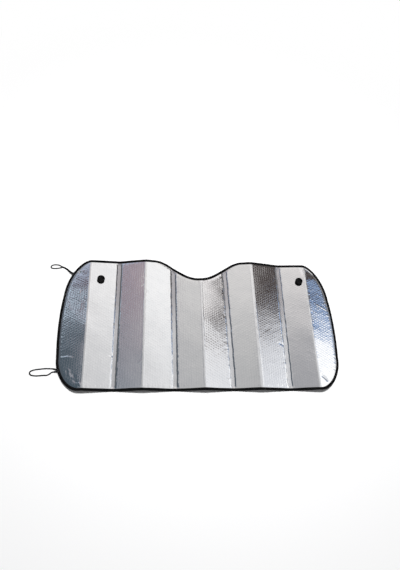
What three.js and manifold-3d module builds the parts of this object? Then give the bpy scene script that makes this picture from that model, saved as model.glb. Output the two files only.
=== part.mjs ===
// Windscreen sunshade: a pleated sheet of bubble foil with a sewn edge binding, two suction cups
// and two elastic loops. It lies open on its valley creases, front up, in millimetres with +Z up.
// X runs across the pleats and +Y points to the edge with the mirror notch.
import * as THREE from 'three';
import Module from 'manifold-3d';
import { mergeVertices } from 'three/addons/utils/BufferGeometryUtils.js';

const wasm = await Module();
wasm.setup();

// Pleats, measured on the flat sheet
const pleatCount = 10;
const pleatPitch = 130; // from one crease to the next
const endPleat = 121; // from the outermost ridge to the cut edge
const pleatRise = 20; // a ridge above a valley
const valleyBand = 14; // heat pressed band along a valley crease
const ridgeBand = 6; // heat pressed band along a ridge crease
const bandShoulder = 3; // width over which the bubbles flatten beside a band

// Sheet
const sheetThickness = 4; // bubble film between two foil skins
const pressedThickness = 1.8; // the sheet in a pressed band
const rimThickness = 1.4; // the sheet crushed under the binding
const sheetHeight = 628; // from the bottom edge to the shoulders of the notch

// Outline of the flat sheet
const bottomCornerRun = 111;
const bottomCornerRise = 143;
const bottomCornerFullness = 0.5;
const sideInsetBelow = 5.5; // the side at the bottom corner, in from the widest place
const sideInsetAbove = 10.5; // the side at the top corner, in from the widest place
const sideBow = 8.5; // how far the curve's handle lies outside the widest place
const widestBelowMiddle = 3;
const topCornerRun = 133;
const topCornerDrop = 188;
const topCornerFullness = 0.5;
const topCornerLean = 6;
const topCrown = 10; // the shoulders of the notch above the top corners
const notchHalfWidth = 213;
const notchDepth = 94.5;
const notchFullness = 0.37;
const curveSteps = 14; // straight facets of one curve of the outline

// Edge binding, a folded tape
const bindingWidth = 11; // seen on each side of the sheet
const tapeThickness = 0.8;
const seatGap = 0.3; // between pieces that touch

// Suction cups, pushed through punched holes
const cupFromRidge = 40.4; // along the flat sheet, from the outermost ridge towards the middle
const cupOffset = 13; // both holes are punched this far to the right of even places
const cupSkew = 3.7; // the left hole is punched this far too low and the right one too high
const cupFromTop = 104.6; // down from the shoulders of the notch
const cupRimRadius = 17.5;
const cupHeight = 10.4; // the rim above the front of the sheet
const cupLipWidth = 1.8; // flat ring of the rim
const cupLipThickness = 0.9;
const cupFloor = 4.5; // the middle of the hollow above the front of the sheet
const neckRadius = 3.8;
const collarRadius = 7;
const collarThickness = 1.6;
const headRadius = 6.5; // the button behind the sheet
const headHeight = 5.5;
const cupSegments = 48;

// Elastic loops, a flat braid whose two ends are sewn to the binding
const strapWidth = 6;
const strapThickness = 1;
const strapChamfer = 0.3;
const strapSteps = 44;
const upperStrapFromTop = 80; // the seam's place down the left edge
const lowerStrapFromBottom = 88; // the seam's place up the left edge
const strapLetGo = 25; // from a sewn end to where the band lies level

// Finishes
const foil = new THREE.MeshStandardMaterial({ color: 0xc9ccd1, roughness: 0.25, metalness: 1 });
const tape = new THREE.MeshStandardMaterial({ color: 0x0d0d0f, roughness: 0.85, metalness: 0 });
const cupPlastic = new THREE.MeshStandardMaterial({ color: 0x101012, roughness: 0.2, metalness: 0 });
const elastic = new THREE.MeshStandardMaterial({ color: 0x151517, roughness: 0.8, metalness: 0 });

// Values that follow from the sizes above
const panelRun = pleatPitch - (valleyBand + ridgeBand) / 2;
const panelSlope = Math.asin(pleatRise / panelRun);
const outerRidge = (pleatCount / 2 - 1) * pleatPitch;
const halfWidth = outerRidge + endPleat;
const halfHeight = sheetHeight / 2;
const middleHeight = sheetThickness / 2; // of the sheet's middle plane in a valley, over the ground
const overrun = 3 * bindingWidth; // how far a section runs on past the outline that trims it
const tapeOverhang = seatGap + tapeThickness;
const bindingHalf = rimThickness / 2 + tapeOverhang; // half the thickness of the bound edge

// Creases from left to right. The cut edges lie low, so the first crease is a ridge.
const creases = Array.from({ length: pleatCount - 1 }, (_, i) => ({
  u: (i + 1 - pleatCount / 2) * pleatPitch,
  ridge: i % 2 === 0,
  band: i % 2 === 0 ? ridgeBand : valleyBand,
}));

// The sheet's middle line seen along Y: straight runs between the edges of the pressed bands.
function foldLine() {
  const line = [{ u: -halfWidth - overrun, slope: panelSlope }];
  for (const crease of creases) {
    line.push({ u: crease.u - crease.band / 2, slope: 0 });
    line.push({ u: crease.u + crease.band / 2, slope: crease.ridge ? -panelSlope : panelSlope });
  }
  line.push({ u: halfWidth + overrun, slope: -panelSlope });
  line[0].x = 0;
  line[0].z = middleHeight + pleatRise - (endPleat + overrun - ridgeBand / 2) * Math.sin(panelSlope);
  for (let i = 1; i < line.length; i += 1) {
    const step = line[i].u - line[i - 1].u;
    line[i].x = line[i - 1].x + step * Math.cos(line[i - 1].slope);
    line[i].z = line[i - 1].z + step * Math.sin(line[i - 1].slope);
  }
  const middle = line[line.length - 1].x / 2;
  line.forEach((bend) => {
    bend.x -= middle;
  });
  return line;
}
const bends = foldLine();

// A point at the flat coordinate u, raised by t from the sheet's middle plane.
// At a bend it lies on the line that halves the angle, so the layers stay parallel.
function foldPoint(u, t) {
  let i = bends.findIndex((bend) => bend.u > u + 1e-9) - 1;
  i = i < 0 ? bends.length - 2 : i;
  const { slope } = bends[i];
  const along = u - bends[i].u;
  const before = i > 0 && along < 1e-9 ? bends[i - 1].slope : slope;
  const lean = (slope + before) / 2;
  const reach = t / Math.cos((slope - before) / 2);
  const x = bends[i].x + along * Math.cos(slope) - reach * Math.sin(lean);
  return new THREE.Vector2(x, bends[i].z + along * Math.sin(slope) + reach * Math.cos(lean));
}

// Right half of the flat outline, from the middle of the bottom edge up to the bottom of the notch.
function halfOutline() {
  const low = new THREE.Vector2(halfWidth - sideInsetBelow, bottomCornerRise - halfHeight);
  const high = new THREE.Vector2(halfWidth - sideInsetAbove, halfHeight - topCornerDrop);
  const corner = new THREE.Vector2(halfWidth - topCornerRun, halfHeight - topCrown);
  const bottomEnd = halfWidth - bottomCornerRun;
  const notchHandle = notchFullness * notchHalfWidth;
  const path = new THREE.Path();
  path.moveTo(0, -halfHeight);
  path.lineTo(bottomEnd, -halfHeight);
  path.bezierCurveTo(
    bottomEnd + bottomCornerFullness * (low.x - bottomEnd), -halfHeight,
    low.x, low.y - bottomCornerFullness * bottomCornerRise, low.x, low.y);
  path.quadraticCurveTo(halfWidth + sideBow, -widestBelowMiddle, high.x, high.y);
  path.bezierCurveTo(
    high.x - topCornerLean, high.y + topCornerFullness * (corner.y - high.y),
    corner.x + topCornerFullness * (high.x - corner.x), corner.y, corner.x, corner.y);
  path.quadraticCurveTo((corner.x + notchHalfWidth) / 2, halfHeight, notchHalfWidth, halfHeight);
  path.bezierCurveTo(
    notchHalfWidth - notchHandle, halfHeight,
    notchHandle, halfHeight - notchDepth, 0, halfHeight - notchDepth);
  return path.getPoints(curveSteps);
}

// The whole outline as it lies, seen from above: the flat one drawn in along X by the pleats.
function planOutline() {
  const right = halfOutline();
  const left = right.slice(1, -1).reverse().map((p) => new THREE.Vector2(-p.x, p.y));
  return [...right, ...left].map((p) => new THREE.Vector2(foldPoint(p.x, 0).x, p.y));
}
const outline = planOutline();

// The outline moved out by a distance, or in where it is negative.
function offsetOutline(distance) {
  const count = outline.length;
  return outline.map((p, i) => {
    const before = p.clone().sub(outline[(i + count - 1) % count]).normalize();
    const after = outline[(i + 1) % count].clone().sub(p).normalize();
    const middle = before.clone().add(after).normalize();
    const reach = distance / middle.dot(after);
    return new THREE.Vector2(p.x + middle.y * reach, p.y - middle.x * reach);
  });
}

// A closed three.js geometry as a solid that can be joined and cut
function solid(geometry) {
  const bare = geometry.clone();
  bare.deleteAttribute('normal');
  bare.deleteAttribute('uv');
  const merged = mergeVertices(bare);
  return new wasm.Manifold(new wasm.Mesh({
    numProp: 3,
    vertProperties: merged.attributes.position.array,
    triVerts: new Uint32Array(merged.index.array),
  }));
}

function meshOf(name, body, material) {
  const { vertProperties, triVerts } = body.getMesh();
  const geometry = new THREE.BufferGeometry();
  geometry.setAttribute('position', new THREE.BufferAttribute(vertProperties, 3));
  geometry.setIndex(new THREE.BufferAttribute(triVerts, 1));
  geometry.computeVertexNormals();
  const mesh = new THREE.Mesh(geometry, material);
  mesh.name = name;
  return mesh;
}

// A pleated layer between two heights from the middle plane, much longer along Y than the sheet
function pleatedLayer(stations) {
  const upper = stations.map((s) => foldPoint(s.u, s.upper));
  const lower = stations.map((s) => foldPoint(s.u, s.lower)).reverse();
  const depth = sheetHeight + 2 * overrun;
  const geometry = new THREE.ExtrudeGeometry(new THREE.Shape([...upper, ...lower]), {
    depth,
    bevelEnabled: false,
  });
  geometry.rotateX(Math.PI / 2);
  geometry.translate(0, depth / 2, 0);
  return solid(geometry);
}

function evenLayer(half) {
  return pleatedLayer(bends.map((bend) => ({ u: bend.u, lower: -half, upper: half })));
}

// The sheet's own section: full thickness, pressed from the front in the valleys and from the
// back on the ridges.
function sheetLayer() {
  const half = sheetThickness / 2;
  const full = { lower: -half, upper: half };
  const stations = [{ u: bends[0].u, ...full }];
  for (const { u, ridge, band } of creases) {
    const pressed = ridge
      ? { lower: half - pressedThickness, upper: half }
      : { lower: -half, upper: pressedThickness - half };
    stations.push({ u: u - band / 2 - bandShoulder, ...full });
    stations.push({ u: u - band / 2, ...pressed });
    stations.push({ u: u + band / 2, ...pressed });
    stations.push({ u: u + band / 2 + bandShoulder, ...full });
  }
  stations.push({ u: bends[bends.length - 1].u, ...full });
  return pleatedLayer(stations);
}

// An upright block with the outline moved by a distance
function outlineBlock(distance) {
  const depth = pleatRise + 4 * sheetThickness;
  const geometry = new THREE.ExtrudeGeometry(new THREE.Shape(offsetOutline(distance)), {
    depth,
    bevelEnabled: false,
  });
  geometry.translate(0, 0, -sheetThickness);
  return solid(geometry);
}

// Where a cup sits: on the front of the sheet, with Z along the sheet's normal there
function cupSeat(side) {
  const u = side * (outerRidge - cupFromRidge) + cupOffset;
  const front = foldPoint(u, sheetThickness / 2);
  const seat = new THREE.Group();
  seat.position.set(front.x, halfHeight - cupFromTop + side * cupSkew, front.y);
  seat.rotation.y = -side * panelSlope;
  seat.updateMatrixWorld();
  return seat;
}

// The punched hole that a cup's neck passes through
function neckHole(side) {
  const hole = new THREE.CylinderGeometry(
    neckRadius + seatGap, neckRadius + seatGap, 4 * sheetThickness, cupSegments);
  hole.rotateX(Math.PI / 2);
  hole.applyMatrix4(cupSeat(side).matrixWorld);
  return solid(hole);
}

// The sheet: one piece of foil laminate, thinner where the binding holds it
function makeSheet() {
  const middle = sheetLayer().intersect(outlineBlock(-bindingWidth - seatGap));
  const rim = evenLayer(rimThickness / 2).intersect(outlineBlock(0));
  const body = middle.add(rim).subtract(neckHole(-1)).subtract(neckHole(1));
  return meshOf('bubble_foil_panel', body, foil);
}

// The binding: a tape folded over the cut edge, all the way round
function makeBinding() {
  const ring = outlineBlock(tapeOverhang).subtract(outlineBlock(-bindingWidth));
  const outside = evenLayer(bindingHalf).intersect(ring);
  const inside = evenLayer(bindingHalf - tapeThickness).intersect(outlineBlock(seatGap));
  return meshOf('edge_binding', outside.subtract(inside), tape);
}

// One cup, turned round its own axis: button, neck, collar, flared bell and flat rim
function makeCup(name, side) {
  const back = -sheetThickness - seatGap;
  const bellRoot = seatGap + collarThickness;
  const lipInner = cupRimRadius - cupLipWidth;
  const profile = new THREE.Path();
  profile.moveTo(0, back - headHeight);
  profile.quadraticCurveTo(headRadius, back - headHeight, headRadius, back - headHeight / 3);
  profile.lineTo(headRadius - 1, back);
  profile.lineTo(neckRadius, back);
  profile.lineTo(neckRadius, seatGap);
  profile.lineTo(collarRadius, seatGap);
  profile.lineTo(collarRadius, bellRoot);
  profile.bezierCurveTo(
    collarRadius + 5, bellRoot + 0.6, cupRimRadius - 3, cupHeight - 5,
    cupRimRadius, cupHeight - cupLipThickness);
  profile.lineTo(cupRimRadius, cupHeight);
  profile.lineTo(lipInner, cupHeight);
  profile.bezierCurveTo(
    lipInner - 2.5, cupHeight - 3.4, lipInner - 8, cupFloor + 0.6, 0, cupFloor);
  const points = profile.getPoints(8);
  points[0].x = 0;
  points[points.length - 1].x = 0;
  const turned = new THREE.LatheGeometry(points, cupSegments);
  turned.rotateX(Math.PI / 2);
  const seat = cupSeat(side);
  seat.add(meshOf(name, solid(turned), cupPlastic));
  return seat;
}

// Plan point on the left side of the bound edge at a height y, in the middle of the tape
function leftEdgeAt(y) {
  const line = offsetOutline(-bindingWidth / 2);
  const i = line.findIndex((p, k) => {
    const next = line[(k + 1) % line.length];
    return p.x < 0 && p.y > y && next.y <= y;
  });
  const next = line[(i + 1) % line.length];
  const share = (line[i].y - y) / (line[i].y - next.y);
  return line[i].clone().lerp(next, share);
}

// Height of the tape's front under a plan point near the left edge
function tapeFrontAt(x) {
  const edge = foldPoint(-halfWidth, bindingHalf);
  return edge.y + (x - edge.x) * Math.tan(panelSlope);
}

// A curve that carries a flat band: level across, and leant with the pleat where it is sewn down
class BandCurve extends THREE.CatmullRomCurve3 {
  computeFrenetFrames(segments) {
    const frames = { tangents: [], normals: [], binormals: [] };
    const length = this.getLength();
    for (let i = 0; i <= segments; i += 1) {
      const along = (i / segments) * length;
      const held = Math.max(0, 1 - Math.min(along, length - along) / strapLetGo);
      const lean = held * panelSlope;
      const up = new THREE.Vector3(-Math.sin(lean), 0, Math.cos(lean));
      const tangent = this.getTangentAt(i / segments);
      const across = tangent.clone().cross(up).normalize();
      frames.tangents.push(tangent);
      frames.normals.push(across.clone().cross(tangent));
      frames.binormals.push(across);
    }
    return frames;
  }
}

// One loop: its middle line runs from one sewn end round to the other. Route points are offsets
// from the seam, with the height over the ground, or with none where the band lies on the tape.
// A stacked loop has its second end sewn on top of its first.
function makeStrap(name, seamY, route, stacked) {
  const seam = leftEdgeAt(seamY);
  const points = route.map(([dx, dy, z], i) => {
    const layer = stacked && i > route.length / 2 ? 1 : 0;
    const underside = tapeFrontAt(seam.x + dx) + seatGap + layer * (strapThickness + seatGap);
    const onTape = underside + strapThickness / 2;
    return new THREE.Vector3(seam.x + dx, seam.y + dy, z ?? onTape);
  });
  const w = strapWidth / 2;
  const t = strapThickness / 2;
  const c = strapChamfer;
  const section = new THREE.Shape([
    new THREE.Vector2(t, c - w), new THREE.Vector2(t, w - c),
    new THREE.Vector2(t - c, w), new THREE.Vector2(c - t, w),
    new THREE.Vector2(-t, w - c), new THREE.Vector2(-t, c - w),
    new THREE.Vector2(c - t, -w), new THREE.Vector2(t - c, -w),
  ]);
  const geometry = new THREE.ExtrudeGeometry(section, {
    steps: strapSteps,
    bevelEnabled: false,
    extrudePath: new BandCurve(points, false, 'centripetal'),
  });
  return meshOf(name, solid(geometry), elastic);
}

// The upper loop leaves the corner with one half lying partly on the other, and ends in a small eye.
const upperRoute = [
  [0.6, 1], [-6.4, 5.5], [-13.3, 9.9, 8.8], [-19.4, 14.6, 5.8], [-25.7, 20.7, 2.9],
  [-32.2, 26.9, 1.1], [-40.4, 33.3, 0.6], [-49.5, 38.4, 0.6], [-57, 41.3, 0.6],
  [-62.3, 43.6, 0.6], [-67, 46.2, 0.6], [-73, 49.4, 0.6], [-80.5, 51.7, 0.6],
  [-89.5, 52.4, 0.6], [-98.5, 51.6, 0.6], [-105.8, 48.8, 0.6], [-110.6, 43.6, 0.6],
  [-110.4, 37.8, 0.6], [-105.4, 33.8, 0.6], [-96.5, 32.4, 0.6], [-87, 32.8, 0.6],
  [-78, 34, 0.6], [-71.5, 35.2, 0.9], [-66.5, 36.6, 1.9], [-62.2, 37.9, 2.1],
  [-58, 39.1, 2.1], [-50.5, 36.4, 2.1], [-41.6, 31.5, 2.1], [-33.8, 25.1, 2.6],
  [-27.3, 19.1, 4.4], [-21, 12.8, 7.3], [-14.7, 8.1, 10.3], [-7.6, 3.5], [-0.6, -1],
];

// The lower loop leaves the edge with its halves side by side and opens downwards.
const lowerRoute = [
  [0, 3.7], [-10, 5.6], [-18.5, 8.4, 3.8], [-27, 9.8, 1], [-37, 10.5, 0.6], [-50, 10.8, 0.6],
  [-64, 9.9, 0.6], [-80, 8.4, 0.6], [-95, 6.4, 0.6], [-108, 3, 0.6], [-117.5, -2.6, 0.6],
  [-119.5, -10, 0.6], [-114, -16.6, 0.6], [-103, -19.8, 0.6], [-90, -20.4, 0.6],
  [-75, -19.6, 0.6], [-60, -18.4, 0.6], [-49.7, -18.2, 0.6], [-43, -16.4, 0.6],
  [-37.2, -12.8, 0.6], [-32, -8.4, 0.6], [-26, -4.9, 1], [-18, -3.7, 3.8], [-9.5, -3.7], [0, -3.7],
];

const shade = new THREE.Group();
shade.add(makeSheet());
shade.add(makeBinding());
shade.add(makeCup('suction_cup_left', -1));
shade.add(makeCup('suction_cup_right', 1));
shade.add(makeStrap('elastic_strap_upper', halfHeight - upperStrapFromTop, upperRoute, true));
shade.add(makeStrap('elastic_strap_lower', lowerStrapFromBottom - halfHeight, lowerRoute, false));

export default shade;
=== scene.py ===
# A windscreen sunshade of pleated bubble foil, opened and laid on a pale floor.
# Everything is in metres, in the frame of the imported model.
import math
import random

import bpy
import numpy as np
from mathutils import Matrix, Vector, geometry


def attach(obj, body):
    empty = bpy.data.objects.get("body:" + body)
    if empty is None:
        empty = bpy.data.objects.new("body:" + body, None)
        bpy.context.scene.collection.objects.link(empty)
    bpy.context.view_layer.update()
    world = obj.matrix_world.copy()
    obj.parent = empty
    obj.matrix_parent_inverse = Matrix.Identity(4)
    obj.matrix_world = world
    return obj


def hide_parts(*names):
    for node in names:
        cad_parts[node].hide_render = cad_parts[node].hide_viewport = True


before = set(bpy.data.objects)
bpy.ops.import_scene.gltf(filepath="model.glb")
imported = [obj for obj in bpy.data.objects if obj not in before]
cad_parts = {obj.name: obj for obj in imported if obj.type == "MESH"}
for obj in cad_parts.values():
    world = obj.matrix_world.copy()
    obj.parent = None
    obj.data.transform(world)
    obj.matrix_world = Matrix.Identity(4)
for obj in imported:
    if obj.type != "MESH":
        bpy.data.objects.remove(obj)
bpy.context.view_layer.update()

# Pleats and sheet, as in the frame
PLEATS = 10
PITCH = 0.130
END_PLEAT = 0.121
RISE = 0.020
VALLEY_BAND = 0.014
RIDGE_BAND = 0.006
WIDE_RIDGE_BAND = 0.011
RIDGE_SHOULDER = 0.003
VALLEY_SHOULDER = 0.006
THICK = 0.004
PRESSED = 0.0018
RIM_THICK = 0.0014
HEIGHT = 0.628
HALF_HEIGHT = HEIGHT / 2
OUTER_RIDGE = (PLEATS / 2 - 1) * PITCH
HALF_WIDTH = OUTER_RIDGE + END_PLEAT
SLOPE = math.asin(RISE / (PITCH - (VALLEY_BAND + RIDGE_BAND) / 2))
BEND_LENGTH = 0.0025  # over which a fold turns
RIDGE_BANDS = {6: WIDE_RIDGE_BAND}
# Place of each crease across the sheet, whether it is a ridge, and the width of its pressed band
CREASES = [((i + 1 - PLEATS / 2) * PITCH, i % 2 == 0,
            VALLEY_BAND if i % 2 else RIDGE_BANDS.get(i, RIDGE_BAND)) for i in range(PLEATS - 1)]
# How far each crease strays to the right of its even place, in millimetres
STRAY_TOP = (2.7, 7.4, 3.0, 5.0, 6.7, -4.3, -2.0, 8.3, 5.5)
STRAY_BOTTOM = (5.4, 3.4, -1.3, 11.5, 10.9, 9.1, 1.9, 5.3, 7.5)
# How far each crease wavers, in millimetres, and how far beside it that is felt
WAVER = (0.2, 0.5, 0.2, 0.7, 0.2, 1.2, 0.2, 1.2, 0.2)
WAVER_REACH = 0.016
STRAY_END = 0.02  # how far past the sheet's ends the stray has died out
SWELL_HEIGHT = 0.0003
SWELL_CALM = 0.035  # reach of the still film round each cup

# Outline of the flat sheet
BOTTOM_CORNER = (0.111, 0.143)  # run and rise
TOP_CORNER = (0.133, 0.188)  # run and drop
SIDE_INSET_BELOW = 0.0055
SIDE_INSET_ABOVE = 0.0105
SIDE_BOW = 0.0085
WIDEST_BELOW_MIDDLE = 0.003
TOP_CORNER_LEAN = 0.006
TOP_CROWN = 0.010
NOTCH_HALF_WIDTH = 0.213
NOTCH_DEPTH = 0.0945
BOTTOM_FULLNESS = 0.5
TOP_FULLNESS = 0.5
NOTCH_FULLNESS = 0.37
ARC_STEPS = 60

# Binding, cups and loops
TAPE_WIDTH = 0.011
TAPE_THICK = 0.0008
SEAT_GAP = 0.0003
TAPE_HALF = RIM_THICK / 2 + SEAT_GAP + TAPE_THICK
CUP_OFFSET = 0.013  # both holes are punched this far right of even places
CUP_SKEW = 0.0037  # the left hole lies this far too low and the right one too high
CUP_REACH = OUTER_RIDGE - 0.0404
CUP_V = HALF_HEIGHT - 0.1046
CUPS = {side: (side * CUP_REACH + CUP_OFFSET, CUP_V + side * CUP_SKEW) for side in (-1, 1)}
NECK_HOLE = 0.0041
STRAP_WIDTH = 0.006
STRAP_THICK = 0.001
UPPER_SEAM_V = HALF_HEIGHT - 0.080
LOWER_SEAM_V = 0.088 - HALF_HEIGHT

# Air bubbles in the film
BUBBLE_PITCH = 0.0124
BUBBLE_RADIUS = 0.0054
BUBBLE_HEIGHT = 0.00019
BUBBLE_COLUMN = BUBBLE_PITCH * math.sqrt(3) / 2
LEAST_FULL = 0.45  # height of the flattest bubble, as a share, and what chance adds to it
CHANCE_FULL = 1.1
SLIDE_ACROSS = 0.0013
SLIDE_UP = 0.0009
FLAT_SHIFT = 1.0  # what the stored flat coordinates have added, so that none is below 0


# The pleated line, seen along Y

def fold_table():
    """Flat coordinate, place, height and heading along the line, as tables."""
    step = 0.00025
    margin = 0.03
    u = np.arange(-HALF_WIDTH - margin, HALF_WIDTH + margin, step)
    heading = np.full_like(u, SLOPE)
    for crease, ridge, band in CREASES:
        heading[u > crease - band / 2] = 0.0
        heading[u > crease + band / 2] = -SLOPE if ridge else SLOPE
    width = int(BEND_LENGTH / step)
    padded = np.pad(heading, width, mode="edge")
    heading = np.convolve(padded, np.ones(width) / width, mode="same")[width:-width]
    x = np.cumsum(np.cos(heading)) * step
    z = np.cumsum(np.sin(heading)) * step
    middle = len(u) // 2
    return u, x - x[middle], z - z.max() + THICK / 2 + RISE, heading


FOLD_U, FOLD_X, FOLD_Z, FOLD_HEADING = fold_table()


def stray(u, v):
    """How far the folds near a flat point lie to the right of even places."""
    end = HALF_WIDTH + STRAY_END
    stops = [-end] + [crease for crease, _, _ in CREASES] + [end]
    top, bottom = (np.interp(u, stops, [0.0] + [s / 1000 for s in row] + [0.0])
                   for row in (STRAY_TOP, STRAY_BOTTOM))
    waver = sum(w / 1000 * np.exp(-((u - crease) / WAVER_REACH) ** 2)
                for w, (crease, _, _) in zip(WAVER, CREASES))
    share = (v + HALF_HEIGHT) / HEIGHT
    # Two waves along each fold, about 103 and 49 mm long
    wave = 0.6 * np.sin(v * 61.0 + u * 20.0) + 0.5 * np.sin(v * 127.0 + u * 35.0 + np.sin(v * 31.0))
    return bottom + (top - bottom) * share + waver * wave


def even(u, v):
    """The even sheet's place across the pleats that folds as this flat point does."""
    even_u = u
    for _ in range(3):
        even_u = u - stray(even_u, v)
    return even_u


def cup_distance(u, v):
    """How far each flat point lies from the middle of the nearest cup."""
    return np.minimum(*(np.hypot(u - cup_u, v - cup_v) for cup_u, cup_v in CUPS.values()))


def swell(u, v):
    """The film's slow undulation, nothing in the valleys or at the cups."""
    z = np.interp(even(u, v), FOLD_U, FOLD_Z) - THICK / 2
    wave = (np.sin(u * 31.0 + 2.2 * np.sin(v * 9.0)) * np.sin(v * 17.0 + 1.7)
            + 0.7 * np.sin(u * 13.0 - v * 23.0 + 0.6) + 0.5 * np.sin(v * 41.0 + u * 19.0))
    away = 1 - np.exp(-(cup_distance(u, v) / SWELL_CALM) ** 2)
    return SWELL_HEIGHT * wave * np.clip(z / RISE, 0, 1) * away


def folded(u, v, t):
    """Points of the laid sheet from flat coordinates and a height over its middle plane."""
    u, v, t = (np.asarray(a, dtype=float) for a in (u, v, t))
    even_u = even(u, v)
    heading = np.interp(even_u, FOLD_U, FOLD_HEADING)
    lifted = t + swell(u, v)
    x = np.interp(u, FOLD_U, FOLD_X) - lifted * np.sin(heading)
    z = np.interp(even_u, FOLD_U, FOLD_Z) + lifted * np.cos(heading)
    return np.stack([x, v + np.zeros_like(x), z], axis=-1)


# The outline and its offsets, in flat coordinates

def bezier(points, steps):
    """Points along a Bezier curve, the first left out."""
    t = np.linspace(0, 1, steps + 1)[1:, None]
    rows = [np.array(p, dtype=float) for p in points]
    while len(rows) > 1:
        rows = [a * (1 - t) + b * t for a, b in zip(rows, rows[1:])]
    return rows[0]


def half_outline():
    """The right half of the cut edge, from the middle below to the middle of the notch."""
    low = (HALF_WIDTH - SIDE_INSET_BELOW, BOTTOM_CORNER[1] - HALF_HEIGHT)
    high = (HALF_WIDTH - SIDE_INSET_ABOVE, HALF_HEIGHT - TOP_CORNER[1])
    corner = (HALF_WIDTH - TOP_CORNER[0], HALF_HEIGHT - TOP_CROWN)
    start = (0.0, -HALF_HEIGHT)
    bottom = (HALF_WIDTH - BOTTOM_CORNER[0], -HALF_HEIGHT)
    shoulder = (NOTCH_HALF_WIDTH, HALF_HEIGHT)
    notch = (0.0, HALF_HEIGHT - NOTCH_DEPTH)
    handle = NOTCH_FULLNESS * NOTCH_HALF_WIDTH
    arcs = [
        [start, bottom],
        [bottom, (bottom[0] + BOTTOM_FULLNESS * (low[0] - bottom[0]), -HALF_HEIGHT),
         (low[0], low[1] - BOTTOM_FULLNESS * BOTTOM_CORNER[1]), low],
        [low, (HALF_WIDTH + SIDE_BOW, -WIDEST_BELOW_MIDDLE), high],
        [high, (high[0] - TOP_CORNER_LEAN, high[1] + TOP_FULLNESS * (corner[1] - high[1])),
         (corner[0] + TOP_FULLNESS * (high[0] - corner[0]), corner[1]), corner],
        [corner, ((corner[0] + NOTCH_HALF_WIDTH) / 2, HALF_HEIGHT), shoulder],
        [shoulder, (NOTCH_HALF_WIDTH - handle, HALF_HEIGHT),
         (handle, HALF_HEIGHT - NOTCH_DEPTH), notch],
    ]
    return np.concatenate([[start]] + [bezier(arc, ARC_STEPS) for arc in arcs])


def even_loop(points, spacing):
    """A closed loop resampled at one spacing."""
    closed = np.vstack([points, points[:1]])
    along = np.concatenate([[0], np.cumsum(np.linalg.norm(np.diff(closed, axis=0), axis=1))])
    count = int(round(along[-1] / spacing))
    s = np.arange(count) * along[-1] / count
    return np.stack([np.interp(s, along, closed[:, k]) for k in (0, 1)], axis=1)


def outline(spacing):
    """The whole cut edge as a closed loop, counter-clockwise."""
    right = half_outline()
    left = right[1:-1][::-1] * np.array([-1.0, 1.0])
    return even_loop(np.vstack([right, left]), spacing)


def inward(loop):
    """Unit normals of a loop that runs counter-clockwise, pointing in."""
    along = np.roll(loop, -1, axis=0) - np.roll(loop, 1, axis=0)
    along /= np.linalg.norm(along, axis=1)[:, None]
    return np.stack([-along[:, 1], along[:, 0]], axis=1)


def inset(loop, distance):
    return loop + inward(loop) * distance


BATCH = 4000  # points measured at a time
EDGE = outline(0.004)
EDGE_LENGTH = np.linalg.norm(np.roll(EDGE, -1, axis=0) - EDGE, axis=1).sum()


def in_batches(measure, points):
    """What a function measures at the points, worked out for some of them at a time."""
    parts = [measure(points[i:i + BATCH, None, :]) for i in range(0, len(points), BATCH)]
    return np.concatenate(parts, axis=-1)


def edge_distance(points):
    """How far each flat point lies inside the cut edge, and where along the edge."""
    step = np.roll(EDGE, -1, axis=0) - EDGE

    def measure(p):
        share = np.clip(((p - EDGE) * step).sum(-1) / (step ** 2).sum(-1), 0, 1)
        gap = np.linalg.norm(p - (EDGE + share[..., None] * step), axis=-1)
        k = gap.argmin(axis=1)
        rows = np.arange(len(k))
        return np.stack([gap[rows, k], (k + share[rows, k]) * EDGE_LENGTH / len(EDGE)])

    return in_batches(measure, points)


def inside(points, loop):
    """Which points lie inside a closed loop."""
    a = loop
    b = np.roll(loop, -1, axis=0)
    rise = np.where(b[:, 1] == a[:, 1], 1.0, b[:, 1] - a[:, 1])

    def measure(p):
        spans = (a[:, 1] > p[..., 1]) != (b[:, 1] > p[..., 1])
        cross = a[:, 0] + (p[..., 1] - a[:, 1]) / rise * (b[:, 0] - a[:, 0])
        return ((spans & (p[..., 0] < cross)).sum(axis=1) % 2) == 1

    return in_batches(measure, points)


# Relief of the film

def step_up(value, low, high):
    """0 below low and 1 above high, with a smooth step between."""
    t = np.clip((value - low) / (high - low), 0, 1)
    return t * t * (3 - 2 * t)


# Places where the bubbles are flatter, or fuller where the share is below 0: middle, half height
# and by what share
FLATTER = [(0.065, 0.20, 0.10, 0.72), (0.325, 0.23, 0.11, 0.70), (-0.325, 0.0, 0.40, 0.50),
           (-0.585, -0.15, 0.08, 0.70), (-0.585, 0.09, 0.02, -0.35), (-0.585, 0.24, 0.05, 0.55),
           (0.585, 0.05, 0.09, -0.8)]
FLATTER_ACROSS = (0.055, 0.075)  # where it starts and ends to fade, across the pleats
FLATTER_FADE = 0.07


def fullness(u, v):
    """Height of the bubbles as a share, about 1 in most places."""
    total = np.ones_like(u)
    for cu, cv, tall, share in FLATTER:
        total -= (share * (1 - step_up(np.abs(u - cu), *FLATTER_ACROSS))
                  * (1 - step_up(np.abs(v - cv), tall, tall + FLATTER_FADE)))
    return total


def slide(u, v):
    """How far the film's stretch has pulled each bubble out of its row."""
    return np.stack([SLIDE_ACROSS * np.sin(v * 97.0 + 2.0 * np.sin(u * 23.0 + v * 11.0)),
                     SLIDE_UP * np.sin(u * 83.0 + 2.0 * np.sin(v * 19.0 - u * 7.0))], axis=-1)


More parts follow.
